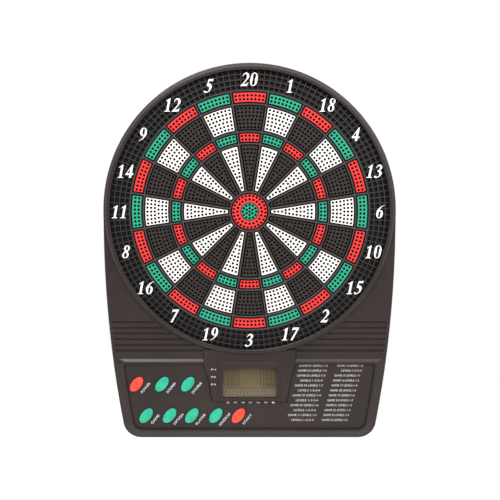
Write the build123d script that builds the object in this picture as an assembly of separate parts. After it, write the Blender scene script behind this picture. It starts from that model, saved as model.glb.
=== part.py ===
from build123d import *
import os
from math import asin, cos, degrees, floor, pi, radians, sin, sqrt

# Electronic soft-tip dartboard. Millimetres. The front faces -Y, +X is the player's right, +Z is up.
# The origin is where the bull's-eye axis meets the wall, so the back of the case lies at Y = 0.

# ---- overall sizes -------------------------------------------------------------------------
head_r = 175.0            # round top of the case
shoulder_drop = 25.0      # straight stretch of the sides below the bull's height
side_curve_r = 1350.0     # long curve that draws the sides in
panel_height = 92.6       # control recess top edge to the foot of the case
panel_drop = 9.4          # round head's lowest point to the control recess
foot_corner_r = 22.0
case_depth = 30.0

# ---- case ----------------------------------------------------------------------------------
wall = 2.5
cover_t = 2.5             # rear cover plate
rim_w = 8.3               # case edge to the target opening
rim_step_w = 2.4          # shoulder outside the raised rim
rim_lip_t = 3.2
panel_sink = 5.5          # rim front down to the plain panel
panel_t = 3.4
edge_round = 2.0
recess_sink = 1.2
recess_side = 12.7
recess_foot = 10.7
recess_corner_r = 11.0
border_rise = 1.8
border_top_w = 6.0
border_edge = 1.6
border_land = 2.4         # flat crest of the border, round the recess
groove_count = 6
groove_pitch = 6.95
groove_w = 2.6
groove_depth = 1.5
groove_edge = 4.6
groove_gap = 10.0         # lowest groove to the top of the recess border
console_rise = 3.2
console_top_half = 57.5
console_mid_half = 51.5
console_foot_half = 46.5
console_height = 48.6
console_knee = 19.0       # drop to the bend in the console's sides
console_taper = 28.0

# ---- target --------------------------------------------------------------------------------
sectors = 20
sector_deg = 360.0 / sectors
bull_wall_r = 23.4
triple_in_r = 80.5
triple_out_r = 94.8
double_in_r = 126.8
double_out_r = 142.4
web_t = 2.4               # spider wall
outer_web_t = 1.6         # spider's outermost wall
inner_bull_r = 10.6
fit_gap = 0.3             # round every moving piece
target_sink = 3.5         # rim front down to the spider's front
cap_sink = 0.5            # spider's front down to the segment tops
web_depth = 7.7
segment_depth = 9.0
segment_lip = 0.7         # flange reach behind the spider walls
segment_lip_t = 1.5
segment_bevel = 1.2
segment_travel = 1.0
hole_r = 1.2
hole_funnel = 0.4         # each hole's mouth is wider by this much
web_crest = 0.8           # chamfer that narrows each spider wall to a crest
hole_pitch = 4.42
hole_margin = 4.8
bull_travel_gap = 1.4
spider_flange_w = 7.8
spider_flange_t = 1.7
pillar_r = 2.5
pillar_place = 4.1        # pillar axis outside the spider's outer wall

# ---- catch ring ----------------------------------------------------------------------------
catch_ribs = 144
catch_pitch = 6.4
catch_rib_t = 1.3
catch_wall_t = 0.7
catch_cell_depth = 3.5
catch_base_t = 2.5
catch_lap = 2.6           # hidden under the rim
boss_r = 3.5
board_screw_place = 13.1  # screw circle outside the double ring
board_screws = 10

# ---- sensing stack -------------------------------------------------------------------------
sheet_gap = 0.2
sheet_t = 0.2
spacer_t = 0.25
foam_t = 2.65
board_t = 3.0
board_lap = 17.6          # board edge outside the double ring
stack_lap = 1.1

# ---- controls ------------------------------------------------------------------------------
button_a = 10.5
button_b = 6.1
button_tilt = 50.0
button_rise = 2.3
button_travel = 1.2
button_lip = 1.4
button_lip_t = 1.4
button_boss_r = 3.0
button_boss_t = 0.5
row_top_drop = 25.9
row_foot_rise = 27.5
buttons_top = {"power": -137.8, "sound": -106.7, "double_out": -75.3}
buttons_foot = {"game": -126.5, "option": -97.9, "player": -70.6, "handicap": -41.3, "start": -13.7}
lcd_drop = 23.4
lcd_w = 65.0
lcd_h = 36.6
bezel_w = 74.4
bezel_h = 48.1
bezel_up = 1.95           # bezel centre above the window's centre
bezel_rise = 1.4
bezel_corner_r = 4.0
window_lap = 2.7
window_t = 1.2
console_skin = 2.2
glass_lap = 2.0
glass_t = 2.8
frame_bar = 5.0
frame_rim = 1.5
zebra_t = 2.0
pcb_left = -146.0
pcb_right = 48.0
pcb_top_drop = 15.6
pcb_foot_rise = 21.0
pcb_t = 1.6
pcb_back = 12.0           # board's rear face in front of the wall plane
standoff_r = 3.0
mat_t = 1.2
mat_edge = 1.0
dome_r = 4.5
dome_gap = 0.3
tail_x = -54.0
tail_w = 12.0
connector_h = 6.0

# ---- power and sound -----------------------------------------------------------------------
cell_r = 7.25
cell_length = 50.5
cell_pitch = 15.5
cell_count = 3
bay_centre_x = 99.0
bay_foot_rise = 44.0      # battery bay's centre above the foot
contact_room = 6.5
bay_wall = 1.5
door_t = 2.0
door_lap = 1.8
grip_count = 5            # finger grips across the battery door
grip_pitch = 5.0
grip_w = 1.2
grip_depth = 0.5
thumb_w = 18.0
thumb_h = 6.0
thumb_depth = 0.9
plate_t = 0.5             # battery contact plates
plate_w = 9.0
plate_h = 11.0
speaker_r = 18.0
speaker_t = 5.2
speaker_x = -95.0
speaker_rise = 49.0
grille_pitch = 4.0
grille_hole_r = 1.0
grille_rings = 4
lead_r = 0.6

# ---- fixings -------------------------------------------------------------------------------
post_r = 2.5
pilot_r = 1.25
screw_r = 1.2
screw_hole_r = 1.6
screw_head_r = 2.8
screw_head_t = 1.8
screw_grip = 7.0
counterbore_depth = 2.4
counterbore_floor = 2.6
keyhole_r = 4.5
keyhole_neck_r = 2.25
keyhole_rise = 9.0
keyhole_spacing = 150.0
keyhole_z = 100.0
rib_t = 1.6
rib_in_r = 45.0           # the board's middle rests on two rings joined by arms
rib_out_r = 95.0
rib_arms = 12

# ---- places worked out from the sizes ------------------------------------------------------
rim_y = -case_depth
panel_y = rim_y + panel_sink
panel_back_y = panel_y + panel_t
lip_y = rim_y + rim_lip_t
recess_y = panel_y + recess_sink
spider_y = rim_y + target_sink
cap_y = spider_y + cap_sink
web_back_y = spider_y + web_depth
segment_back_y = cap_y + segment_depth
catch_floor_y = spider_y + catch_cell_depth
catch_back_y = catch_floor_y + catch_base_t
sheet_y = segment_back_y + segment_travel + sheet_gap
spacer_y = sheet_y + sheet_t
rear_sheet_y = spacer_y + spacer_t
foam_y = rear_sheet_y + sheet_t
board_y = foam_y + foam_t
board_back_y = board_y + board_t
cover_y = -cover_t
post_end_y = -counterbore_depth - counterbore_floor
console_y = recess_y - console_rise
pcb_y = -pcb_back - pcb_t
button_y = recess_y - button_rise

opening_r = head_r - rim_w
ring_out_r = head_r - rim_step_w
catch_out_r = opening_r + catch_lap
pocket_r = catch_out_r + fit_gap
spider_out_r = double_out_r + outer_web_t / 2
catch_in_r = spider_out_r + fit_gap
stack_r = double_out_r + stack_lap
board_r = double_out_r + board_lap
board_screw_r = double_out_r + board_screw_place
pillar_ring_r = spider_out_r + pillar_place
post_ring_r = head_r - wall - post_r + 0.3
foot_z = -(head_r + panel_drop + panel_height)
panel_top_z = -(head_r + panel_drop)
border_top_z = panel_top_z + border_top_w
row_top_z = panel_top_z - row_top_drop
row_foot_z = foot_z + row_foot_rise
lcd_z = panel_top_z - lcd_drop
console_foot_z = panel_top_z - console_height
pcb_top_z = panel_top_z - pcb_top_drop
pcb_foot_z = foot_z + pcb_foot_rise
bay_z = foot_z + bay_foot_rise
speaker_z = foot_z + speaker_rise
bay_w = cell_length + contact_room
bay_h = cell_pitch * cell_count
cell_y = -door_t - fit_gap - cell_r - 0.35
bay_floor_y = cell_y - cell_r - 0.35
buttons = {name: (x, row_top_z) for name, x in buttons_top.items()}
buttons.update({name: (x, row_foot_z) for name, x in buttons_foot.items()})
upper_posts = [
    (post_ring_r * cos(radians(angle)), post_ring_r * sin(radians(angle)))
    for angle in (10, 50, 90, 130, 170)
]
lower_posts = [
    (side * x, z)
    for side in (-1, 1)
    for x, z in ((head_r - 18.0, foot_z + 167.0), (head_r - 36.0, foot_z + 11.5))
]
standoffs = [
    (-122.5, (row_top_z + row_foot_z) / 2),
    (-59.0, (row_top_z + row_foot_z) / 2 + 1.0),
    (-27.5, row_foot_z + 12.0),
    (pcb_right - 5.0, row_foot_z + 9.5),
    (pcb_right - 4.0, pcb_top_z - 5.0),
]
numbers = [20, 1, 18, 4, 13, 6, 10, 15, 2, 17, 3, 19, 7, 16, 8, 11, 14, 9, 12, 5]
parts = {}


# ---- drawing helpers -----------------------------------------------------------------------
def slab(face, front_y, back_y, taper=0.0):
    """A solid between two depths, from a face drawn in front view with its back at back_y."""
    placed = Plane.XZ.offset(-back_y) * face
    return extrude(placed, amount=back_y - front_y, dir=(0, -1, 0), taper=taper)


def disc(x, z, radius, front_y, back_y):
    return slab(Pos(x, z) * Circle(radius), front_y, back_y)


def ring(out_r, in_r, front_y, back_y):
    return slab(Circle(out_r) - Circle(in_r), front_y, back_y)


def plate(x, z, width, height, front_y, back_y):
    return slab(Pos(x, z) * Rectangle(width, height), front_y, back_y)


def at(radius, clock_deg):
    """A point in front view, its angle turning clockwise from the top."""
    return (radius * sin(radians(clock_deg)), radius * cos(radians(clock_deg)))


def half_angle(radius, inset):
    return sector_deg / 2 - degrees(asin(inset / radius))


def sector_wire(in_r, out_r, inset, mid=0.0):
    """A ring segment whose straight sides stand a constant distance inside the sector's edges."""
    a_in = half_angle(in_r, inset)
    a_out = half_angle(out_r, inset)
    return Wire([
        ThreePointArc(at(out_r, mid - a_out), at(out_r, mid), at(out_r, mid + a_out)),
        Line(at(out_r, mid + a_out), at(in_r, mid + a_in)),
        ThreePointArc(at(in_r, mid + a_in), at(in_r, mid), at(in_r, mid - a_in)),
        Line(at(in_r, mid - a_in), at(out_r, mid - a_out)),
    ])


def side_x(z, inset):
    """Half-width of the case at a height below the shoulder."""
    drop = -z - shoulder_drop
    return head_r - inset - (side_curve_r - sqrt(side_curve_r**2 - drop**2))


def side_arc(top_z, low_z, inset, side):
    heights = (top_z, (top_z + low_z) / 2, low_z)
    return ThreePointArc(*[(side * side_x(z, inset), z) for z in heights])


def case_face(inset):
    """The case outline: a round head on sides that draw in to a rounded foot."""
    r = head_r - inset
    low = foot_z + inset
    x_low = side_x(low, inset)
    face = make_face([
        ThreePointArc((-r, 0), (0, r), (r, 0)),
        Line((r, 0), (r, -shoulder_drop)),
        side_arc(-shoulder_drop, low, inset, 1),
        Line((x_low, low), (-x_low, low)),
        side_arc(-shoulder_drop, low, inset, -1),
        Line((-r, -shoulder_drop), (-r, 0)),
    ])
    return fillet(face.vertices().sort_by(Axis.Y)[:2], foot_corner_r - inset)


def panel_face(top_z, inset, foot_inset, foot_r, top_r):
    """A panel that follows the drawn-in sides below a straight top edge."""
    low = foot_z + foot_inset
    x_top = side_x(top_z, inset)
    x_low = side_x(low, inset)
    face = make_face([
        Line((-x_top, top_z), (x_top, top_z)),
        side_arc(top_z, low, inset, 1),
        Line((x_low, low), (-x_low, low)),
        side_arc(top_z, low, inset, -1),
    ])
    face = fillet(face.vertices().sort_by(Axis.Y)[:2], foot_r)
    return fillet(face.vertices().sort_by(Axis.Y)[-2:], top_r)


def oval(x, z, grow=0.0):
    return Pos(x, z) * Rot(0, 0, button_tilt) * Ellipse(button_a + grow, button_b + grow)


def screw(x, z, head_back_y):
    """A pan-head screw driven from the back, with a cross recess."""
    neck_y = head_back_y - screw_head_t
    body = disc(x, z, screw_head_r, neck_y, head_back_y) + disc(x, z, screw_r, neck_y - screw_grip, neck_y)
    bar = screw_head_r * 1.2
    for width, height in ((bar, 0.6), (0.6, bar)):
        body -= plate(x, z, width, height, head_back_y - 1.0, head_back_y + 1.0)
    return body


def lead(points, radii):
    """A wire along straight runs joined by tangent arcs."""
    path = FilletPolyline(*points, radius=radii)
    section = Plane(origin=path @ 0, z_dir=path % 0) * Circle(lead_r)
    return sweep(section, path=path)


# ---- case ----------------------------------------------------------------------------------
def make_front_housing():
    shell = slab(case_face(0), panel_y, cover_y)
    shell = fillet(shell.faces().sort_by(Axis.Y)[0].edges(), edge_round)
    border_foot = panel_face(border_top_z, border_edge, border_edge, foot_corner_r - border_edge, 5.0)
    border_crest = panel_face(panel_top_z + border_land, recess_side - border_land, recess_foot - border_land,
                              recess_corner_r + border_land, 3.0 + border_land)
    shell += loft([Plane.XZ.offset(-panel_y - 0.3) * border_foot,
                   Plane.XZ.offset(-panel_y + border_rise) * border_crest], ruled=True)
    recess = panel_face(panel_top_z, recess_side, recess_foot, recess_corner_r, 3.0)
    shell -= slab(recess, rim_y, recess_y)
    console_face = make_face(Polyline(
        (-console_top_half, -head_r + panel_drop), (-console_top_half, panel_top_z),
        (-console_mid_half, panel_top_z - console_knee), (-console_foot_half, console_foot_z),
        (console_foot_half, console_foot_z), (console_mid_half, panel_top_z - console_knee),
        (console_top_half, panel_top_z), (console_top_half, -head_r + panel_drop), close=True))
    console = slab(console_face, console_y, recess_y + 0.5, taper=console_taper)
    shell += console - disc(0, 0, pocket_r + 1.0, rim_y, 0)
    bezel = Pos(0, lcd_z + bezel_up) * RectangleRounded(bezel_w, bezel_h, bezel_corner_r)
    raised = slab(bezel, console_y - bezel_rise, console_y + 0.5)
    shell += chamfer(raised.faces().sort_by(Axis.Y)[0].edges(), bezel_rise * 0.6)
    shell -= slab(case_face(wall), panel_back_y, 0)
    shell -= disc(0, 0, pocket_r, rim_y, 0)
    profile = make_face(Polyline(
        (opening_r, lip_y), (opening_r, rim_y), (ring_out_r - rim_step_w, rim_y),
        (ring_out_r, rim_y + rim_step_w), (ring_out_r, panel_back_y - 0.5),
        (pocket_r, panel_back_y - 0.5), (pocket_r, lip_y), close=True))
    rounded = profile.vertices().sort_by(Axis.Y)[:2]
    shell += revolve(fillet(rounded, 0.9), axis=Axis.Y)
    for side in (-1, 1):
        for k in range(groove_count):
            z = border_top_z + groove_gap + k * groove_pitch
            x_in = sqrt(ring_out_r**2 - z**2) + groove_edge
            x_out = side_x(z, groove_edge)
            slot = Pos(side * (x_in + x_out) / 2, z) * SlotOverall(x_out - x_in, groove_w)
            shell -= slab(slot, panel_y - 1.0, panel_y + groove_depth)
    for x, z in buttons.values():
        shell -= slab(oval(x, z, fit_gap), rim_y, 0)
    shell -= plate(0, lcd_z, lcd_w, lcd_h, rim_y - 1.0, 0)
    shell -= plate(0, lcd_z, lcd_w + 2 * window_lap + 2 * fit_gap, lcd_h + 2 * window_lap + 2 * fit_gap,
                   console_y + console_skin, 0)
    for x, z in upper_posts:
        shell += disc(x, z, post_r, lip_y - 0.2, post_end_y)
        shell -= disc(x, z, pilot_r, -20.0, post_end_y)
    for x, z in lower_posts:
        shell += disc(x, z, post_r + 1.0, panel_back_y - 0.5, post_end_y)
        shell -= disc(x, z, pilot_r, -20.0, post_end_y)
    for x, z in standoffs:
        shell += disc(x, z, standoff_r, panel_back_y - 0.5, pcb_y)
        shell -= disc(x, z, pilot_r, panel_back_y + 0.5, pcb_y)
    return shell


def make_rear_cover():
    cover = slab(case_face(0), cover_y, 0)
    cover = chamfer(cover.faces().sort_by(Axis.Y)[-1].edges(), 0.8)
    cover += slab(case_face(wall + 0.2) - case_face(wall + 1.6), cover_y - 1.5, cover_y)
    rib_y = board_back_y + fit_gap
    for r in (rib_in_r, rib_out_r):
        cover += ring(r + rib_t / 2, r - rib_t / 2, rib_y, cover_y)
    for k in range(rib_arms):
        along = Pos(0, (rib_in_r + rib_out_r) / 2) * Rectangle(rib_t, rib_out_r - rib_in_r)
        cover += slab(Rot(0, 0, 360.0 / rib_arms * k) * along, rib_y, cover_y)
    inside = case_face(wall + 0.2)
    for x, z in upper_posts + lower_posts:
        cover += slab(inside & (Pos(x, z) * Circle(post_r + 2.2)), post_end_y, cover_y)
        cover -= disc(x, z, screw_head_r + 0.3, -counterbore_depth, 1.0)
        cover -= disc(x, z, screw_hole_r, post_end_y - 1.0, 1.0)
    for side in (-1, 1):
        x = side * keyhole_spacing / 2
        cover -= disc(x, keyhole_z, keyhole_r, cover_y - 1.0, 1.0)
        neck = SlotCenterToCenter(keyhole_rise, 2 * keyhole_neck_r, rotation=90)
        cover -= slab(Pos(x, keyhole_z + keyhole_rise / 2) * neck, cover_y - 1.0, 1.0)
    tray_w = bay_w + 2 * (door_lap + bay_wall)
    tray_h = bay_h + 2 * (door_lap + bay_wall)
    cover += plate(bay_centre_x, bay_z, tray_w, tray_h, bay_floor_y - bay_wall, cover_y)
    cover -= plate(bay_centre_x, bay_z, bay_w, bay_h, bay_floor_y, 1.0)
    cover -= plate(bay_centre_x, bay_z, bay_w + 2 * door_lap, bay_h + 2 * door_lap, -door_t - 0.2, 1.0)
    cover += ring(speaker_r + 0.3 + rib_t, speaker_r + 0.3, cover_y - speaker_t, cover_y).moved(
        Location((speaker_x, 0, speaker_z)))
    for k in range(grille_rings):
        count = max(1, 6 * k)
        for n in range(count):
            x, z = at(grille_pitch * k, 360.0 * n / count)
            cover -= disc(speaker_x + x, speaker_z + z, grille_hole_r, cover_y - 1.0, 1.0)
    return cover


# ---- target --------------------------------------------------------------------------------
def make_spider():
    rings = [
        (bull_wall_r + web_t / 2, triple_in_r - web_t / 2),
        (triple_in_r + web_t / 2, triple_out_r - web_t / 2),
        (triple_out_r + web_t / 2, double_in_r - web_t / 2),
        (double_in_r + web_t / 2, double_out_r - outer_web_t / 2),
    ]
    cells = [sector_wire(a, b, web_t / 2, sector_deg * k) for a, b in rings for k in range(sectors)]
    cells.append(Wire.make_circle(bull_wall_r - web_t / 2))
    spider = slab(Face(Wire.make_circle(spider_out_r), cells), spider_y, web_back_y)
    front = spider.faces().sort_by(Axis.Y)[0]
    crest_edges = [edge for wire in front.inner_wires() for edge in wire.edges()]
    spider = chamfer(crest_edges, web_crest)
    flange_front = web_back_y - spider_flange_t
    spider += ring(spider_out_r + spider_flange_w, spider_out_r - 0.2, flange_front, web_back_y)
    for k in range(sectors):
        x, z = at(pillar_ring_r, sector_deg * (k + 0.5))
        spider += disc(x, z, pillar_r, web_back_y - 0.2, board_y)
    return spider


def hole_rows(wall_in, wall_out):
    """Dart holes between two ring walls, as points in the sector that stands upright."""
    span = wall_out - wall_in - 2 * hole_margin
    rows = floor(span / hole_pitch) + 1
    first = (wall_in + wall_out) / 2 - (rows - 1) * hole_pitch / 2
    places = []
    for row in range(rows):
        r = first + row * hole_pitch
        half = half_angle(r, hole_margin + 0.2)
        count = max(1, round(2 * r * radians(half) / hole_pitch) + 1)
        for n in range(count):
            turn = 0.0 if count == 1 else half * (2 * n / (count - 1) - 1)
            places.append(at(r, turn))
    return places


def make_drill():
    """The shape that one dart hole removes: a bore with a conical mouth."""
    mouth_r = hole_r + hole_funnel
    profile = make_face(Polyline(
        (0, rim_y), (mouth_r, rim_y), (mouth_r, cap_y), (hole_r, cap_y + hole_funnel),
        (hole_r, 0), (0, 0), close=True))
    return revolve(profile, axis=Axis.Y).solid()


def drilled(body, places):
    drill = make_drill()
    return body.cut(*[Pos(x, 0, z) * drill for x, z in places])


def make_segment(wall_in, wall_out, in_t=web_t, out_t=web_t):
    """One upright segment: a bevelled head in its spider cell and a flange behind the walls."""
    cell_in = wall_in + in_t / 2
    cell_out = wall_out - out_t / 2
    side = web_t / 2
    head_face = Face(sector_wire(cell_in + fit_gap, cell_out - fit_gap, side + fit_gap))
    flange_face = Face(sector_wire(cell_in - segment_lip, cell_out + segment_lip, side - segment_lip))
    head = slab(head_face, cap_y, segment_back_y)
    head = chamfer(head.faces().sort_by(Axis.Y)[0].edges(), segment_bevel)
    body = head + slab(flange_face, segment_back_y - segment_lip_t, segment_back_y)
    return drilled(body.solid(), hole_rows(wall_in, wall_out))


def turned(body, k):
    return Rot(0, sector_deg * k, 0) * body


def make_outer_bull():
    out_r = bull_wall_r - web_t / 2 - fit_gap
    in_r = inner_bull_r + fit_gap
    body = disc(0, 0, out_r, cap_y, segment_back_y)
    body = chamfer(body.faces().sort_by(Axis.Y)[0].edges(), segment_bevel)
    body += disc(0, 0, out_r + fit_gap + segment_lip, segment_back_y - segment_lip_t, segment_back_y)
    body -= disc(0, 0, in_r, rim_y, 0)
    lip_r = inner_bull_r + 1.6
    body -= disc(0, 0, lip_r + fit_gap, segment_back_y - segment_lip_t + 0.6 - bull_travel_gap, 0)
    places = []
    for r in (14.6, 19.02):
        count = floor(2 * pi * r / hole_pitch)
        places += [at(r, 360.0 * n / count) for n in range(count)]
    return drilled(body.solid(), places)


def make_inner_bull():
    body = disc(0, 0, inner_bull_r, cap_y, segment_back_y)
    body = chamfer(body.faces().sort_by(Axis.Y)[0].edges(), segment_bevel * 0.7)
    body += disc(0, 0, inner_bull_r + 1.6, segment_back_y - segment_lip_t + 0.6, segment_back_y)
    places = [(0.0, 0.0)]
    for row in (1, 2):
        r = row * 4.0
        places += [at(r, 60.0 / row * n) for n in range(6 * row)]
    return drilled(body.solid(), places)


def make_catch_ring():
    rib = catch_rib_t / 2
    step = 360.0 / catch_ribs
    edges = [catch_in_r + catch_wall_t]
    while edges[-1] < opening_r - catch_pitch / 2:
        edges.append(double_out_r + catch_pitch * len(edges) + rib)
    last = opening_r + 0.3
    cells = []
    for n, inner in enumerate(edges):
        outer = edges[n + 1] - catch_rib_t if n + 1 < len(edges) else last
        if outer - inner < 1.0:
            continue
        for k in range(catch_ribs):
            half_in = step / 2 - degrees(asin(rib / inner))
            half_out = step / 2 - degrees(asin(rib / outer))
            mid = step * k
            cells.append(Wire.make_polygon([
                at(inner, mid - half_in), at(inner, mid + half_in),
                at(outer, mid + half_out), at(outer, mid - half_out)]))
    grid = Face(Wire.make_circle(catch_out_r), cells + [Wire.make_circle(catch_in_r)])
    catch = slab(grid, spider_y, catch_floor_y)
    catch += ring(catch_out_r, catch_in_r, catch_floor_y, catch_back_y)
    for k in range(board_screws):
        x, z = at(board_screw_r, 360.0 / board_screws * k)
        catch += disc(x, z, boss_r, catch_back_y - 0.2, board_y)
        catch -= disc(x, z, pilot_r, catch_back_y + 0.5, board_y)
    for x, z in upper_posts:
        catch -= disc(x, z, post_r + fit_gap, rim_y, 0)
    return catch


# ---- sensing stack -------------------------------------------------------------------------
def make_backing_board():
    board = disc(0, 0, board_r, board_y, board_back_y)
    for k in range(board_screws):
        x, z = at(board_screw_r, 360.0 / board_screws * k)
        board -= disc(x, z, screw_hole_r, board_y - 1.0, board_back_y + 1.0)
    return board


def make_tail():
    top = -sqrt(stack_r**2 - (abs(tail_x) - tail_w / 2)**2)
    foot = pcb_top_z - 4.0
    return plate(tail_x, (top + foot) / 2, tail_w, top - foot, sheet_y + 0.8, sheet_y + 1.1)


# ---- controls ------------------------------------------------------------------------------
def make_button(x, z):
    cap = slab(oval(x, z), button_y, panel_back_y + fit_gap)
    cap = fillet(cap.faces().sort_by(Axis.Y)[0].edges(), 0.9)
    lip_back = panel_back_y + fit_gap + button_lip_t
    cap += slab(oval(x, z, button_lip), panel_back_y + fit_gap, lip_back)
    cap += disc(x, z, button_boss_r, lip_back, lip_back + button_boss_t)
    return cap


def make_keypad_mat():
    front = pcb_y - mat_t
    dome_y = panel_back_y + fit_gap + button_lip_t + button_boss_t + button_travel + dome_gap
    top = pcb_top_z - mat_edge
    foot = pcb_foot_z + mat_edge
    left = pcb_left
    split = tail_x - tail_w / 2 - 4.0
    right = max(buttons_foot.values()) + dome_r + 5.0
    low_top = row_foot_z + dome_r + 2.0
    mat = plate((left + split) / 2, (top + foot) / 2, split - left, top - foot, front, pcb_y)
    mat += plate((left + right) / 2, (low_top + foot) / 2, right - left, low_top - foot, front, pcb_y)
    for x, z in buttons.values():
        mat += disc(x, z, dome_r, front - 0.6, front)
        mat += disc(x, z, dome_r - 1.0, dome_y, front)
        mat -= disc(x, z, dome_r - 2.0, pcb_y - 1.2, pcb_y)
    for x, z in standoffs:
        mat -= disc(x, z, standoff_r + 0.7, front - 3.0, pcb_y + 1.0)
    return mat


def make_main_pcb():
    board = plate((pcb_left + pcb_right) / 2, (pcb_top_z + pcb_foot_z) / 2, pcb_right - pcb_left,
                  pcb_top_z - pcb_foot_z, pcb_y, -pcb_back)
    for x, z in standoffs:
        board -= disc(x, z, screw_hole_r, pcb_y - 1.0, 0)
    socket = plate(tail_x, pcb_top_z - 5.0, tail_w + 3.0, connector_h, pcb_y - 3.0, pcb_y)
    slot_y = sheet_y + 0.8
    socket -= plate(tail_x, pcb_top_z - 2.0, tail_w + 0.4, 4.4, slot_y - 0.1, slot_y + 0.4)
    return board + socket


def make_lcd_frame():
    glass_w = lcd_w + 2 * glass_lap
    glass_h = lcd_h + 2 * glass_lap
    front = console_y + console_skin + window_t + glass_t + 0.4
    frame = plate(0, lcd_z, glass_w + 2 * frame_rim, glass_h + 2 * frame_rim, front, pcb_y)
    frame -= plate(0, lcd_z, glass_w - 2 * frame_bar, glass_h - 2 * frame_bar, rim_y, 0)
    zebra_z = lcd_z - glass_h / 2 + frame_bar / 2
    frame -= plate(0, zebra_z, glass_w - 2 * frame_bar, zebra_t + 0.6, rim_y, 0)
    zebra = plate(0, zebra_z, glass_w - 2 * frame_bar - 0.6, zebra_t, front, pcb_y)
    return frame, zebra


# ---- power and sound -----------------------------------------------------------------------
def make_cell(z):
    body_x = bay_centre_x - cell_length / 2 + 1.0
    turn = Rot(0, 90, 0)
    can = Pos(body_x, cell_y, z) * turn * Cylinder(
        cell_r, cell_length - 1.5, align=(Align.CENTER, Align.CENTER, Align.MIN))
    can = fillet(can.edges(), 0.8)
    nub = Pos(body_x + cell_length - 1.6, cell_y, z) * turn * Cylinder(
        2.7, 1.5, align=(Align.CENTER, Align.CENTER, Align.MIN))
    return can + nub


def make_spring(z):
    """A conical contact spring between the bay wall and a cell's flat end."""
    start_x = bay_centre_x - bay_w / 2 + 1.0
    length = bay_w / 2 - cell_length / 2 - 0.8
    path = Helix(length / 3, length, 2.2, (start_x, cell_y, z), (1, 0, 0), cone_angle=20)
    wire = Plane(origin=path @ 0, z_dir=path % 0) * Circle(0.3)
    return sweep(wire, path=path, is_frenet=True)


def make_door():
    width = bay_w + 2 * door_lap - 2 * fit_gap
    height = bay_h + 2 * door_lap - 2 * fit_gap
    door = plate(bay_centre_x, bay_z, width, height, -door_t, 0)
    door = chamfer(door.faces().sort_by(Axis.Y)[-1].edges(), 0.4)
    thumb = Pos(bay_centre_x, bay_z + bay_h / 2 - 5.0) * SlotOverall(thumb_w, thumb_h)
    door -= slab(thumb, -thumb_depth, 1.0)
    for k in range(grip_count):
        grip_z = bay_z - 12.0 + grip_pitch * k
        door -= plate(bay_centre_x, grip_z, bay_w / 2, grip_w, -grip_depth, 1.0)
    return door


def make_speaker():
    cone = disc(speaker_x, speaker_z, speaker_r, cover_y - 3.0, cover_y)
    magnet = disc(speaker_x, speaker_z, speaker_r * 0.55, cover_y - speaker_t, cover_y - 3.0)
    cone -= disc(speaker_x, speaker_z, speaker_r - 2.0, cover_y - 1.0, cover_y + 1.0)
    return cone + magnet


# ---- build every node ----------------------------------------------------------------------
parts["front_housing"] = make_front_housing()
parts["rear_cover"] = make_rear_cover()
parts["catch_ring"] = make_catch_ring()
parts["spider"] = make_spider()

outer_single = make_segment(triple_out_r, double_in_r)
inner_single = make_segment(bull_wall_r, triple_in_r)
double = make_segment(double_in_r, double_out_r, out_t=outer_web_t)
triple = make_segment(triple_in_r, triple_out_r)
for k, number in enumerate(numbers):
    parts[f"single_{number:02d}"] = Compound([turned(outer_single, k), turned(inner_single, k)])
for colour, first in (("red", 0), ("green", 1)):
    parts[f"doubles_{colour}"] = Compound([turned(double, k) for k in range(first, sectors, 2)])
    parts[f"triples_{colour}"] = Compound([turned(triple, k) for k in range(first, sectors, 2)])
parts["outer_bull"] = make_outer_bull()
parts["inner_bull"] = make_inner_bull()

parts["membrane_front"] = disc(0, 0, stack_r, sheet_y, spacer_y)
parts["membrane_spacer"] = ring(stack_r, stack_r - 6.0, spacer_y, rear_sheet_y)
parts["membrane_rear"] = disc(0, 0, stack_r, rear_sheet_y, foam_y)
parts["foam_pad"] = disc(0, 0, stack_r, foam_y, board_y)
parts["backing_board"] = make_backing_board()
parts["membrane_tail"] = make_tail()

for name, (x, z) in buttons.items():
    parts[f"button_{name}"] = make_button(x, z)
parts["keypad_mat"] = make_keypad_mat()
parts["main_pcb"] = make_main_pcb()
parts["controller_chip"] = plate(12.0, lcd_z - 16.0, 20.0, 20.0, -pcb_back, -pcb_back + 2.0)
window_y = console_y + console_skin
window_back_y = window_y + window_t
parts["lcd_window"] = plate(
    0, lcd_z, lcd_w + 2 * window_lap, lcd_h + 2 * window_lap, window_y, window_back_y)
glass_y = window_back_y + 0.2
parts["lcd_panel"] = plate(
    0, lcd_z, lcd_w + 2 * glass_lap, lcd_h + 2 * glass_lap, glass_y, glass_y + glass_t)
parts["lcd_frame"], parts["lcd_connector"] = make_lcd_frame()

cell_heights = [bay_z + cell_pitch * (k - (cell_count - 1) / 2) for k in range(cell_count)]
parts["batteries"] = Compound([make_cell(z) for z in cell_heights])
parts["battery_springs"] = Compound([make_spring(z) for z in cell_heights])
parts["battery_plates"] = Compound([
    Pos(bay_centre_x + side * (bay_w / 2 - 0.3), cell_y, z) * Box(plate_t, plate_w, plate_h)
    for z in cell_heights
    for side in (1, -1)
])
parts["battery_door"] = make_door()
parts["speaker"] = make_speaker()

lead_y = -pcb_back + lead_r + 0.2
tray_left = bay_centre_x - bay_w / 2 - door_lap - bay_wall
parts["battery_leads"] = Compound([
    lead([
        (tray_left - 0.3, lead_y + 2.0, z),
        (tray_left - 8.0, lead_y + 2.0, z),
        (tray_left - 16.0, lead_y, z + 5.0),
        (pcb_right - 8.0, lead_y, z + 5.0),
    ], [6.0, 6.0])
    for z in (bay_z - 4.0, bay_z + 4.0)])
speaker_edge = speaker_x + speaker_r + rib_t
parts["speaker_leads"] = Compound([
    lead([
        (speaker_edge + 0.6, cover_y - 4.0, z),
        (speaker_edge + 4.0, cover_y - 4.0, z),
        (speaker_edge + 7.5, lead_y, z),
        (speaker_edge + 11.0, lead_y, z),
    ], [2.5, 2.5])
    for z in (speaker_z - 3.0, speaker_z + 3.0)])

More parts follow.
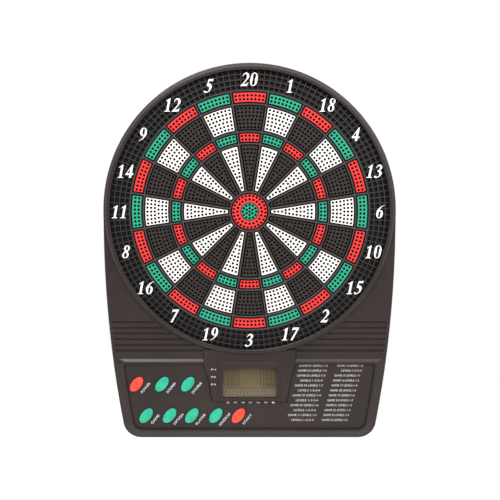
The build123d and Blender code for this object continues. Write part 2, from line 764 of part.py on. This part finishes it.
parts["housing_screws"] = Compound([
    screw(x, z, -counterbore_depth + screw_head_t) for x, z in upper_posts + lower_posts])
board_places = [at(board_screw_r, 360.0 / board_screws * k) for k in range(board_screws)]
parts["inner_screws"] = Compound(
    [screw(x, z, board_back_y + screw_head_t) for x, z in board_places]
    + [screw(x, z, -pcb_back + screw_head_t) for x, z in standoffs])

os.makedirs("parts", exist_ok=True)
for name, shape in parts.items():
    export_step(shape, f"parts/{name}.step")
print(len(parts), "nodes written")
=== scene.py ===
import bpy
import bmesh
from math import cos, pi, radians, sin
from mathutils import Matrix, Vector


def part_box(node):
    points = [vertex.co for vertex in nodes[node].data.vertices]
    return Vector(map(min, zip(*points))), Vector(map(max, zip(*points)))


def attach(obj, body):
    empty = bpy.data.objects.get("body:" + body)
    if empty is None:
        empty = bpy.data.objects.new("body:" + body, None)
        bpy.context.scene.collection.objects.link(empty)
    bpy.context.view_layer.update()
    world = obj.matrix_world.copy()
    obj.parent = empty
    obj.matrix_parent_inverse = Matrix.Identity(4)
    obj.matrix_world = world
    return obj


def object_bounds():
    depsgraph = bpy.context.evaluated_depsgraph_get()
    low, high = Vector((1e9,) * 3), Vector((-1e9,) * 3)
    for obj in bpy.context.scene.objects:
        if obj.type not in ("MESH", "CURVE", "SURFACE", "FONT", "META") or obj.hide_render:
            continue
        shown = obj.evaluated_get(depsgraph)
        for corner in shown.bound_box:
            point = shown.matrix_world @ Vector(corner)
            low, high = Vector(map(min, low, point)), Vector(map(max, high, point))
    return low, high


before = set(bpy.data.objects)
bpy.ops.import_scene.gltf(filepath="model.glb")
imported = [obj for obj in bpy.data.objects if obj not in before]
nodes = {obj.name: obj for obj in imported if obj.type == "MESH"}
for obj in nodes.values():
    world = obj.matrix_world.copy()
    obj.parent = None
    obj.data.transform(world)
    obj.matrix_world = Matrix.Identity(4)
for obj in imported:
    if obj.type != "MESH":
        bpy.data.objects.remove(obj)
cad_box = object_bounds()

MM = 0.001
SCENE = bpy.context.scene
CASE = "case"


# ---- small helpers -------------------------------------------------------------------------
def linear(hex_colour):
    """An sRGB hex colour as linear RGBA."""
    parts = [int(hex_colour[i:i + 2], 16) / 255 for i in (1, 3, 5)]
    return tuple(c / 12.92 if c <= 0.04045 else ((c + 0.055) / 1.055) ** 2.4 for c in parts) + (1.0,)


def add_node(tree, kind, inputs=None, **settings):
    """One shader node: settings are its own properties, inputs its socket values or links."""
    node = tree.nodes.new(kind)
    for name, value in settings.items():
        setattr(node, name, value)
    for key, value in (inputs or {}).items():
        if isinstance(value, bpy.types.NodeSocket):
            tree.links.new(value, node.inputs[key])
        else:
            node.inputs[key].default_value = value
    return node


def new_material(name, **shader):
    material = bpy.data.materials.new(name)
    material.use_nodes = True
    tree = material.node_tree
    surface = tree.nodes["Principled BSDF"]
    for key, value in shader.items():
        surface.inputs[key.replace("_", " ")].default_value = value
    coords = add_node(tree, "ShaderNodeTexCoord").outputs["Object"]
    return material, tree, surface, coords


def ramp(tree, factor, stops):
    """A colour ramp from a list of (position, hex colour)."""
    node = add_node(tree, "ShaderNodeValToRGB", {"Fac": factor})
    elements = node.color_ramp.elements
    while len(elements) < len(stops):
        elements.new(0.5)
    for element, (place, colour) in zip(elements, stops):
        element.position = place
        element.color = linear(colour)
    return node.outputs["Color"]


def noise(tree, coords, size_mm, detail=3.0, rough=0.5):
    """Noise whose grains are about size_mm across."""
    node = add_node(tree, "ShaderNodeTexNoise", {
        "Vector": coords, "Scale": 1.0 / (size_mm * MM), "Detail": detail, "Roughness": rough})
    return node.outputs["Fac"]


def bump(tree, surface, height, depth_mm, strength=1.0):
    node = add_node(tree, "ShaderNodeBump", {
        "Height": height, "Distance": depth_mm * MM, "Strength": strength})
    tree.links.new(node.outputs["Normal"], surface.inputs["Normal"])


def paint(node_name, material):
    mesh = nodes[node_name].data
    mesh.materials.clear()
    mesh.materials.append(material)


def finish_piece(name, bm, material, body=CASE):
    """Turns a bmesh in row coordinates into a piece that rides on a body."""
    mesh = bpy.data.meshes.new(name)
    bm.to_mesh(mesh)
    bm.free()
    mesh.materials.append(material)
    for polygon in mesh.polygons:
        polygon.use_smooth = False
    piece = bpy.data.objects.new(name, mesh)
    SCENE.collection.objects.link(piece)
    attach(piece, body)


def size_of(node_name):
    low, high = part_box(node_name)
    return Vector(low), Vector(high)


# ---- materials -----------------------------------------------------------------------------
def moulded_abs(name, dark, light, roughness, grain_mm, grain_depth):
    """Injection-moulded ABS from a spark-eroded tool: an even satin grain and faint flow marks."""
    material, tree, surface, coords = new_material(name, Roughness=roughness, IOR=1.53)
    clouds = noise(tree, coords, 45.0, 4.0)
    colour = ramp(tree, clouds, [(0.3, dark), (0.7, light)])
    tree.links.new(colour, surface.inputs["Base Color"])
    grain = noise(tree, coords, grain_mm, 2.0, 0.6)
    gloss = add_node(tree, "ShaderNodeMapRange", {
        "Value": grain, "To Min": roughness - 0.06, "To Max": roughness + 0.08})
    tree.links.new(gloss.outputs["Result"], surface.inputs["Roughness"])
    bump(tree, surface, grain, grain_depth, 0.6)
    return material


def ridge_abs(name, pocket_shade, front, front_y, depth_mm, roughness):
    """Black ABS painted darker behind its front face as painted shade in its pockets, with random scuffs.
    """
    material, tree, surface, coords = new_material(name, Roughness=roughness, IOR=1.53)
    y = add_node(tree, "ShaderNodeSeparateXYZ", {"Vector": coords}).outputs["Y"]
    shade_depth = add_node(tree, "ShaderNodeMapRange", {
        "Value": y, "From Min": front_y, "From Max": front_y + depth_mm * MM}).outputs["Result"]
    # painted shade: the front colour darkens to the pocket colour a little way behind the front face
    colour = ramp(tree, shade_depth, [(0.02, front), (0.12, pocket_shade)])
    scuff = noise(tree, coords, 3.0, 5.0, 0.65)
    worn = add_node(tree, "ShaderNodeMix", {"Factor": scuff, "A": 0.85, "B": 1.15}).outputs["Result"]
    shade = add_node(tree, "ShaderNodeVectorMath", {0: colour, 1: worn}, operation="MULTIPLY")
    tree.links.new(shade.outputs["Vector"], surface.inputs["Base Color"])
    bump(tree, surface, noise(tree, coords, 0.8, 2.0), 0.03, 0.5)
    return material


def segment_plastic(name, face, edge, front_y, roughness):
    """Polypropylene dart segments: even colour, painted shade on the bevel, fine scratches from dart tips.
    """
    material, tree, surface, coords = new_material(name, Roughness=roughness, IOR=1.49)
    y = add_node(tree, "ShaderNodeSeparateXYZ", {"Vector": coords}).outputs["Y"]
    shade_depth = add_node(tree, "ShaderNodeMapRange", {
        "Value": y, "From Min": front_y, "From Max": front_y + 1.2 * MM}).outputs["Result"]
    # painted shade: the bevel a little behind the face takes the darker edge colour
    colour = ramp(tree, shade_depth, [(0.02, face), (0.16, edge)])
    wear = noise(tree, coords, 9.0, 5.0, 0.6)
    shade = add_node(tree, "ShaderNodeMapRange", {"Value": wear, "To Min": 0.9, "To Max": 1.06})
    tone = add_node(tree, "ShaderNodeVectorMath", {
        0: colour, 1: shade.outputs["Result"]}, operation="MULTIPLY")
    tree.links.new(tone.outputs["Vector"], surface.inputs["Base Color"])
    marks = noise(tree, coords, 0.7, 4.0, 0.7)
    bump(tree, surface, marks, 0.03, 0.5)
    return material


def silicone(name, face, edge):
    """Pigmented silicone keys: soft sheen and a little light passing through their edges."""
    material, tree, surface, coords = new_material(
        name, Roughness=0.42, IOR=1.43, Subsurface_Weight=0.12, Subsurface_Scale=0.002)
    blush = noise(tree, coords, 7.0, 3.0)
    colour = ramp(tree, blush, [(0.35, edge), (0.6, face)])
    tree.links.new(colour, surface.inputs["Base Color"])
    bump(tree, surface, noise(tree, coords, 0.6, 2.0), 0.02, 0.4)
    return material


def plain_plastic(name, low, high, roughness, grain_mm=1.5, **shader):
    """A simple moulded or printed surface with slight mottling."""
    material, tree, surface, coords = new_material(name, Roughness=roughness, **shader)
    colour = ramp(tree, noise(tree, coords, 12.0, 4.0), [(0.3, low), (0.7, high)])
    tree.links.new(colour, surface.inputs["Base Color"])
    bump(tree, surface, noise(tree, coords, grain_mm, 2.0), 0.02, 0.3)
    return material


def acrylic_window():
    """Clear acrylic sheet: colourless, polished, with a faint tint at its edges."""
    material, tree, surface, coords = new_material(
        "acrylic_window", Roughness=0.06, IOR=1.49, Transmission_Weight=1.0)
    haze = ramp(tree, noise(tree, coords, 20.0), [(0.3, "#f4f3ee"), (0.7, "#fbfaf6")])
    tree.links.new(haze, surface.inputs["Base Color"])
    return material


def solder_mask():
    """Green solder mask over copper tracks, with the bare laminate's weave just showing."""
    material, tree, surface, coords = new_material("solder_mask", Roughness=0.3, IOR=1.5)
    tracks = add_node(tree, "ShaderNodeTexBrick", {
        "Vector": add_node(tree, "ShaderNodeMapping", {
            "Vector": coords, "Rotation": (pi / 2, 0, 0)}).outputs["Vector"],
        "Color1": linear("#0d4a22"), "Color2": linear("#0f5527"), "Mortar": linear("#2c7a3d"),
        "Scale": 90.0, "Mortar Size": 0.03})
    tree.links.new(tracks.outputs["Color"], surface.inputs["Base Color"])
    bump(tree, surface, tracks.outputs["Fac"], 0.05, 0.4)
    return material


def hardboard():
    """Pressed wood-fibre board: brown, matt and speckled with fibres."""
    material, tree, surface, coords = new_material("hardboard", Roughness=0.85)
    fibre = noise(tree, coords, 1.6, 6.0, 0.75)
    colour = ramp(tree, fibre, [(0.25, "#4a2f1c"), (0.55, "#6b4629"), (0.8, "#8a6242")])
    tree.links.new(colour, surface.inputs["Base Color"])
    bump(tree, surface, fibre, 0.15, 0.5)
    return material


def plated_steel(name, colour, roughness):
    """Zinc- or nickel-plated steel with fine tumbling marks."""
    material, tree, surface, coords = new_material(name, Metallic=1.0, Roughness=roughness)
    marks = noise(tree, coords, 0.5, 4.0, 0.7)
    tone = ramp(tree, marks, [(0.2, colour), (0.8, "#c9c9c6")])
    tree.links.new(tone, surface.inputs["Base Color"])
    bump(tree, surface, marks, 0.01, 0.4)
    return material


def closed_foam():
    """Closed-cell foam: matt, black and pitted."""
    material, tree, surface, coords = new_material("closed_cell_foam", Roughness=0.95)
    cells = add_node(tree, "ShaderNodeTexVoronoi", {"Vector": coords, "Scale": 1.0 / (1.2 * MM)})
    colour = ramp(tree, cells.outputs["Distance"], [(0.0, "#0b0b0b"), (0.7, "#262626")])
    tree.links.new(colour, surface.inputs["Base Color"])
    bump(tree, surface, cells.outputs["Distance"], 0.2, 0.6)
    return material


def display_glass():
    """An unlit reflective display: olive polariser, painted light towards its foot, painted shade towards
    its top.
    """
    low, high = size_of("lcd_panel")
    material, tree, surface, coords = new_material("display_polariser", Roughness=0.35, IOR=1.5)
    z = add_node(tree, "ShaderNodeSeparateXYZ", {"Vector": coords}).outputs["Z"]
    height_shading = add_node(tree, "ShaderNodeMapRange", {
        "Value": z, "From Min": low.z, "From Max": high.z}).outputs["Result"]
    # painted light and shade: the colour is lighter low on the panel and darker high up
    colour = ramp(tree, height_shading, [(0.05, "#a8997a"), (0.45, "#94845f"), (1.0, "#877752")])
    tree.links.new(colour, surface.inputs["Base Color"])
    bump(tree, surface, noise(tree, coords, 2.0, 2.0), 0.01, 0.3)
    return material


segment_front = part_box("single_20")[0][1]
catch_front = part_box("catch_ring")[0][1]
spider_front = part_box("spider")[0][1]
case_abs = moulded_abs("case_abs", "#261c18", "#2f2420", 0.41, 0.55, 0.05)
# painted shade: the first colour of each is the shade painted into its pockets, the second its front face
catch_abs = ridge_abs("catch_ring_abs", "#030202", "#241f1d", catch_front, 3.5, 0.5)
spider_abs = ridge_abs("spider_abs", "#080606", "#4d4645", spider_front, 3.0, 0.38)
# painted shade: the second colour of each segment plastic is the shade painted on its bevel
white_pp = segment_plastic("white_polypropylene", "#fffaf5", "#3a3434", segment_front, 0.42)
black_pp = segment_plastic("black_polypropylene", "#2f2624", "#080505", segment_front, 0.45)
red_pp = segment_plastic("red_polypropylene", "#ee3a38", "#3d080b", segment_front, 0.40)
green_pp = segment_plastic("green_polypropylene", "#2ea584", "#06241c", segment_front, 0.40)
red_key = silicone("red_silicone", "#ff5842", "#f24a36")
green_key = silicone("green_silicone", "#36c09c", "#2cb090")
white_ink = plain_plastic("white_pad_print", "#e9e6e2", "#fbfaf8", 0.55)
grey_ink = plain_plastic("grey_pad_print", "#d5d0cc", "#e9e5e1", 0.6)
number_abs = plain_plastic("white_number_abs", "#fbf8f5", "#ffffff", 0.4)
steel_screw = plated_steel("zinc_plated_steel", "#8f9090", 0.38)
steel_spring = plated_steel("nickel_plated_steel", "#a9a7a0", 0.25)

clear = acrylic_window()
film = plain_plastic("polyester_film", "#7f8886", "#93a09c", 0.3)
mat_grey = plain_plastic("grey_silicone_mat", "#6c6c6b", "#7d7d7b", 0.6)

finishes = {
    "front_housing": case_abs, "rear_cover": case_abs, "battery_door": case_abs,
    "catch_ring": catch_abs, "spider": spider_abs,
    "doubles_red": red_pp, "triples_red": red_pp, "outer_bull": red_pp,
    "doubles_green": green_pp, "triples_green": green_pp, "inner_bull": green_pp,
    "membrane_front": film, "membrane_spacer": film, "membrane_rear": film, "membrane_tail": film,
    "foam_pad": closed_foam(), "backing_board": hardboard(), "keypad_mat": mat_grey,
    "main_pcb": solder_mask(), "controller_chip": plain_plastic("epoxy_package", "#141414", "#1c1c1c", 0.5),
    "lcd_window": clear, "lcd_panel": display_glass(),
    "lcd_frame": plain_plastic("white_abs", "#d9d6cf", "#e6e3dc", 0.5), "lcd_connector": mat_grey,
    "batteries": plain_plastic("printed_cell_jacket", "#1b2b46", "#243a5e", 0.3),
    "battery_springs": steel_spring, "battery_plates": steel_spring,
    "speaker": plain_plastic("paper_cone", "#1d1c1b", "#2a2826", 0.7),
    "battery_leads": plain_plastic("red_pvc", "#8f1518", "#a31a1d", 0.4),
    "speaker_leads": plain_plastic("black_pvc", "#171717", "#222222", 0.4),
    "housing_screws": steel_screw, "inner_screws": steel_screw,
}
NUMBERS = [20, 1, 18, 4, 13, 6, 10, 15, 2, 17, 3, 19, 7, 16, 8, 11, 14, 9, 12, 5]
for index, number in enumerate(NUMBERS):
    finishes[f"single_{number:02d}"] = white_pp if index % 2 else black_pp
for name in nodes:
    if name.startswith("button_"):
        finishes[name] = red_key if name in ("button_power", "button_start") else green_key
for name, material in finishes.items():
    paint(name, material)


# ---- raised numbers ------------------------------------------------------------------------
# Each digit is drawn upright in a box one unit high. "s" marks a smooth point and "c" a corner.
SIX = [
    "c.53,1 s.22,.82 s.04,.36 s.28,0 s.55,.31 s.37,.61 c.225,.54 s.32,.82 c.54,.965",
    "s.285,.055 s.375,.30 s.30,.535 s.205,.28",
]
DIGITS = {
    "0": ["s.30,0 s.57,.5 s.30,1 s.03,.5", "s.30,.06 s.39,.5 s.30,.94 s.21,.5"],
    "1": ["c.08,0 c.08,.04 c.21,.08 c.21,.80 c.08,.77 c.07,.81 c.34,1 c.37,1 c.37,.08 c.50,.04 c.50,0"],
    "2": ["c.01,0 c.01,.04 s.25,.34 s.37,.69 s.26,.89 s.13,.83 c.07,.71 c.04,.72 s.10,.90 s.31,1 s.54,.75"
          " s.42,.46 c.20,.15 c.38,.15 s.47,.17 c.53,.27 c.56,.27 c.50,0"],
    "3": ["c.04,.75 s.11,.92 s.30,1 s.51,.80 s.44,.64 c.36,.565 s.48,.47 s.54,.30 s.24,0 s.02,.06 s.03,.14"
          " s.13,.13 s.25,.07 s.38,.28 s.30,.44 c.17,.49 c.17,.53 s.29,.61 s.34,.76 s.25,.89 s.14,.84"
          " c.07,.73"],
    "4": ["c.31,0 c.31,.21 c.02,.21 c.02,.29 c.40,1 c.48,1 c.48,.34 c.59,.34 c.59,.21 c.48,.21 c.48,0",
          "c.31,.34 c.31,.71 c.115,.34"],
    "5": ["c.13,.50 c.20,1 c.50,1 c.57,1.05 c.53,.85 c.25,.85 c.235,.70 s.45,.60 s.53,.38 s.22,0 s.01,.05"
          " s.02,.14 s.12,.12 s.23,.07 s.37,.30 s.30,.44"],
    "6": SIX,
    "7": ["c.08,.74 c.13,1 c.60,1 c.60,.96 c.27,0 c.12,0 c.43,.84 c.22,.84 s.14,.81 c.105,.74"],
    "8": ["s.27,0 s.53,.25 s.42,.51 s.45,.58 s.52,.78 s.30,1 s.08,.76 s.17,.55 s.13,.47 s.03,.24",
          "s.28,.06 s.39,.22 s.25,.44 s.17,.24", "s.30,.94 s.38,.79 s.33,.61 s.22,.80"],
}
DIGIT_HEIGHT = 15.6
DIGIT_PITCH = 9.9
DIGIT_LEAN = 0.20
NUMBER_RADIUS = 155.3
NUMBER_PROUD = 0.35
DIGIT_THICK = 1.2
DIGIT_MIDDLE = 0.29
TEEN_SHIFT = 0.6          # a leading 1 is narrow, so 10 to 19 sit a little to the right


def parse_outline(text, turned=False):
    points = []
    for word in text.split():
        x, y = (float(v) for v in word[1:].split(","))
        if turned:
            x, y = 0.58 - x, 1.0 - y
        points.append((x, y, word[0]))
    return points


def digit_outlines(digit):
    if digit == "9":
        return [parse_outline(text, True) for text in SIX]
    return [parse_outline(text) for text in DIGITS[digit]]


def curve_mesh(name, outlines, thickness):
    """A flat filled curve with a little thickness, as a mesh in its own X and Y."""
    curve = bpy.data.curves.new(name, "CURVE")
    curve.dimensions = "2D"
    curve.fill_mode = "BOTH"
    curve.resolution_u = 5
    curve.extrude = thickness / 2
    for points in outlines:
        spline = curve.splines.new("BEZIER")
        spline.bezier_points.add(len(points) - 1)
        spline.use_cyclic_u = True
        for point, (x, y, kind) in zip(spline.bezier_points, points):
            point.co = (x, y, 0)
            point.handle_left_type = point.handle_right_type = "AUTO" if kind == "s" else "VECTOR"
    holder = bpy.data.objects.new(name, curve)
    SCENE.collection.objects.link(holder)
    bpy.context.view_layer.update()
    mesh = bpy.data.meshes.new_from_object(holder.evaluated_get(bpy.context.evaluated_depsgraph_get()))
    bpy.data.objects.remove(holder)
    return mesh


FACE_PLAYER = Matrix.Rotation(pi / 2, 4, "X")


def add_mesh(bm, mesh, matrix):
    """Adds a mesh, drawn in X and Y, to a bmesh so that it faces the player."""
    mesh.transform(matrix @ FACE_PLAYER)
    bm.from_mesh(mesh)
    bpy.data.meshes.remove(mesh)


def make_numbers():
    top = catch_front - NUMBER_PROUD * MM
    thick = DIGIT_THICK * MM
    scale = DIGIT_HEIGHT * MM
    for index, number in enumerate(NUMBERS):
        angle = radians(18 * index)
        digits = str(number)
        bm = bmesh.new()
        start = -(len(digits) - 1) / 2 * DIGIT_PITCH
        if 10 <= number <= 19:
            start += TEEN_SHIFT
        for place, digit in enumerate(digits):
            outlines = []
            for points in digit_outlines(digit):
                outlines.append([
                    ((x - DIGIT_MIDDLE + DIGIT_LEAN * (y - 0.5)) * scale, (y - 0.5) * scale, kind)
                    for x, y, kind in points])
            mesh = curve_mesh(f"digit_{digit}", outlines, thick)
            x = NUMBER_RADIUS * sin(angle) + start + place * DIGIT_PITCH
            z = NUMBER_RADIUS * cos(angle)
            add_mesh(bm, mesh, Matrix.Translation((x * MM, top + thick / 2, z * MM)))
        finish_piece(f"number_{number:02d}", bm, number_abs)


# ---- printing ------------------------------------------------------------------------------
LETTER_RISE = 0.72        # height of a capital in a font of size 1
LETTER_EXTRUDE = 0.02
PRINT_LIFT = 0.03


def text_mesh(words, height, width=None, thickness=0.06 * MM, centred=True):
    """Plain lettering as a mesh, scaled to a cap height and, if given, to a width."""
    font = bpy.data.curves.new("lettering", "FONT")
    font.body = words
    font.size = 1.0
    font.extrude = LETTER_EXTRUDE
    font.resolution_u = 2
    holder = bpy.data.objects.new("lettering", font)
    SCENE.collection.objects.link(holder)
    bpy.context.view_layer.update()
    mesh = bpy.data.meshes.new_from_object(holder.evaluated_get(bpy.context.evaluated_depsgraph_get()))
    bpy.data.objects.remove(holder)
    xs = [v.co.x for v in mesh.vertices]
    scale_y = height / LETTER_RISE
    scale_x = width / (max(xs) - min(xs)) if width else scale_y
    shift = (min(xs) + max(xs)) / 2 if centred else min(xs)
    stretch = Matrix.Diagonal((scale_x, scale_y, thickness / (2 * LETTER_EXTRUDE), 1))
    mesh.transform(stretch @ Matrix.Translation((-shift, -LETTER_RISE / 2, 0)))
    return mesh


KEY_WORDS = {
    "button_power": "POWER", "button_sound": "SOUND", "button_double_out": "DOUBLE",
    "button_game": "GAME", "button_option": "OPTION", "button_player": "PLAYER",
    "button_handicap": "HANDICAP", "button_start": "START",
}
KEY_TILT = radians(50)
LABEL_RIGHT, LABEL_DOWN = 10.8, 4.6
LABEL_HEIGHT = 3.0
LABEL_WIDTH, LABEL_PER_LETTER = 9.0, 1.35
KEY_RISE = 2.3            # key tops above the recess floor
CONSOLE_RISE = 3.2        # console face above the recess floor
floor_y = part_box("button_power")[0][1] + KEY_RISE * MM
display_face_y = floor_y - CONSOLE_RISE * MM


def printed(bm, words, x, z, height, width=None, turn=0.0, y=None, centred=True):
    level = floor_y if y is None else y
    place = Matrix.Translation((x, level - PRINT_LIFT * MM, z)) @ Matrix.Rotation(-turn, 4, "Y")
    add_mesh(bm, text_mesh(words, height, width, centred=centred), place)


def make_key_labels():
    bm = bmesh.new()
    for name, words in KEY_WORDS.items():
        low, high = size_of(name)
        centre = (low + high) / 2
        width = (LABEL_WIDTH + LABEL_PER_LETTER * len(words)) * MM
        x, z = centre.x + LABEL_RIGHT * MM, centre.z - LABEL_DOWN * MM
        printed(bm, words, x, z, LABEL_HEIGHT * MM, width, KEY_TILT)
    finish_piece("key_labels", bm, white_ink)


PLAYER_X, PLAYER_TOP, PLAYER_PITCH = -43.8, 16.3, 9.2
PLAYER_HEIGHT, PLAYER_WIDTH = 1.9, 5.6
CRICKET_X, CRICKET_DOWN, CRICKET_PITCH = -26.6, 24.5, 9.27
CRICKET_HEIGHT, CRICKET_WIDTH = 1.8, 3.4
MARK_SINK = 0.02          # keeps the marks' backs inside the console face


def make_display_marks():
    level = display_face_y + MARK_SINK * MM
    low, high = size_of("lcd_window")
    centre = (low + high) / 2
    bm = bmesh.new()
    for index, words in enumerate(("P1", "P2", "P3")):
        z = centre.z + (PLAYER_TOP - PLAYER_PITCH * index) * MM
        printed(bm, words, PLAYER_X * MM, z, PLAYER_HEIGHT * MM, PLAYER_WIDTH * MM, y=level)
    finish_piece("player_marks", bm, white_ink)
    bm = bmesh.new()
    for index, words in enumerate(("20", "19", "18", "17", "16", "15", "B")):
        x = (CRICKET_X + CRICKET_PITCH * index) * MM
        z = centre.z - CRICKET_DOWN * MM
        printed(bm, words, x, z, CRICKET_HEIGHT * MM, CRICKET_WIDTH * MM, y=level)
    finish_piece("cricket_marks", bm, white_ink)


GAME_ROWS = 12
GAME_ROW_PITCH = 6.15
GAME_TEXT_HEIGHT = 2.6
# For each column: its left edge, how far each row steps inwards, the indent and the width of a letter
GAME_COLUMNS = ((60.3, 1.32, 5.5, 1.92), (106.5, 1.65, 7.0, 1.75))


def list_words(column, row):
    """Generic wording for one row of the game list, and whether the row is indented."""
    place = column * GAME_ROWS + row
    if column == 0 and row > 2 and row % 2 == 1 or column == 1 and row == 1:
        return "LEVELS 1-2-3-4", True
    return f"GAME {place + 1:02d} LEVELS 1-{3 + place % 5}", False


def make_game_list():
    """Two columns of game names whose left edges step towards the middle as they go down."""
    top = size_of("lcd_window")[1].z - 0.5 * MM
    bm = bmesh.new()
    for row in range(GAME_ROWS):
        z = top - GAME_ROW_PITCH * MM * row
        for column, (left, lean, indent, pitch) in enumerate(GAME_COLUMNS):
            words, indented = list_words(column, row)
            x = left - lean * row + (indent if indented else 0.0)
            width = pitch * len(words) * MM
            printed(bm, words, x * MM, z, GAME_TEXT_HEIGHT * MM, width, centred=False)
    finish_piece("game_list", bm, grey_ink)


CELL_THICK, CELL_LIFT = 0.03, 0.02
STROKE = 0.7
FINE_STROKE = 0.5
SCORE_X, SCORE_PITCH = 29.0, 5.2          # three rows of digits on each side of the middle
SCORE_TOP, SCORE_ROW_PITCH = 13.0, 8.0
BOX_X, BOX_PITCH, BOX_Z = -27.0, 9.0, -13.6
BOX_WIDTH, BOX_HEIGHT = 5.2, 4.6


def make_display_cells():
    """The display's unlit segments: outlines of digits and a row of score boxes."""
    low, high = size_of("lcd_panel")
    level = low.y - CELL_LIFT * MM
    centre = (low + high) / 2
    cell_ink = plain_plastic("unlit_segments", "#54482b", "#5c5032", 0.4)
    bm = bmesh.new()

    def bar(x, z, width, height):
        place = Matrix.Translation((centre.x + x * MM, level, centre.z + z * MM))
        shape = Matrix.Diagonal((width * MM, CELL_THICK * MM, height * MM, 1))
        bmesh.ops.create_cube(bm, size=1.0, matrix=place @ shape)

    for side in (-1, 1):
        for row in range(3):
            for col in range(3):
                x = side * (SCORE_X - SCORE_PITCH * col)
                z = SCORE_TOP - SCORE_ROW_PITCH * row
                for edge in (-1, 1):
                    bar(x + edge * 1.9, z, STROKE, 6.0)
                for level_z in (-3.0, 0.0, 3.0):
                    bar(x, z + level_z, 3.4, STROKE)
    for col in range(7):
        x = BOX_X + BOX_PITCH * col
        for edge in (-1, 1):
            bar(x + edge * BOX_WIDTH / 2, BOX_Z, FINE_STROKE, BOX_HEIGHT)
            bar(x, BOX_Z + edge * BOX_HEIGHT / 2, BOX_WIDTH, FINE_STROKE)
    for edge in (-1, 1):
        bar(edge * 13.2, 4.8, STROKE, 23.5)
    bar(0, -7.6, 60.0, 0.6)
    finish_piece("display_segments", bm, cell_ink)


make_numbers()
make_key_labels()
make_display_marks()
make_game_list()
make_display_cells()


# ---- studio --------------------------------------------------------------------------------
FLOOR_DROP = 1.6          # metres below the foot of the case
FLOOR_SIZE = 6.0
DIM, BRIGHT = 0.12, 1.0   # backdrop strength on the player's side and behind the board
OVERHEAD = 0.75


def make_studio():
    world = bpy.data.worlds.new("studio_white")
    SCENE.world = world
    world.use_nodes = True
    tree = world.node_tree
    facing = add_node(tree, "ShaderNodeTexCoord").outputs["Generated"]
    axes = add_node(tree, "ShaderNodeSeparateXYZ", {"Vector": facing})
    glow = add_node(tree, "ShaderNodeMapRange", {
        "Value": axes.outputs["Y"], "From Min": -0.75, "From Max": 0.25, "To Min": DIM, "To Max": BRIGHT})
    overhead = add_node(tree, "ShaderNodeMapRange", {
        "Value": axes.outputs["Z"], "From Min": 0.25, "From Max": 1.0, "To Min": 0.0, "To Max": OVERHEAD})
    strength = add_node(tree, "ShaderNodeMath", {
        0: glow.outputs["Result"], 1: overhead.outputs["Result"]}, operation="ADD")
    tree.links.new(strength.outputs["Value"], tree.nodes["Background"].inputs["Strength"])
    tree.nodes["Background"].inputs["Color"].default_value = (1, 1, 1, 1)
    floor_z = cad_box[0][2] - FLOOR_DROP
    bm = bmesh.new()
    level = Matrix.Translation((0, 0, floor_z))
    bmesh.ops.create_grid(bm, x_segments=1, y_segments=1, size=FLOOR_SIZE, matrix=level)
    mesh = bpy.data.meshes.new("studio_floor")
    bm.to_mesh(mesh)
    bm.free()
    material, tree, surface, coords = new_material("pale_floor", Roughness=0.9)
    surface.inputs["Base Color"].default_value = linear("#fbfbfb")
    mesh.materials.append(material)
    floor = bpy.data.objects.new("studio_floor", mesh)
    SCENE.collection.objects.link(floor)
    for name, place, size, power in (
        ("key_light", (-0.7, -1.5, 1.6), 0.9, 34.0),
        ("fill_light", (1.2, -1.6, 0.9), 1.0, 21.0),
    ):
        light = bpy.data.lights.new(name, "AREA")
        light.shape = "DISK"
        light.size = size
        light.energy = power
        lamp = bpy.data.objects.new(name, light)
        SCENE.collection.objects.link(lamp)
        lamp.location = place
        lamp.rotation_euler = (Vector((0, 0, -0.05)) - Vector(place)).to_track_quat("-Z", "Y").to_euler()


def make_camera():
    aim = Vector((0.0005, -0.025, -0.046))
    distance = 0.9208
    tilt = radians(5.0)
    data = bpy.data.cameras.new("camera")
    data.sensor_width = 36.0
    data.lens = 55.3
    camera = bpy.data.objects.new("camera", data)
    SCENE.collection.objects.link(camera)
    camera.location = aim + distance * Vector((0, -cos(tilt), sin(tilt)))
    camera.rotation_euler = (pi / 2 - tilt, 0, 0)
    SCENE.camera = camera


make_studio()
make_camera()
SCENE.view_settings.view_transform = "Standard"
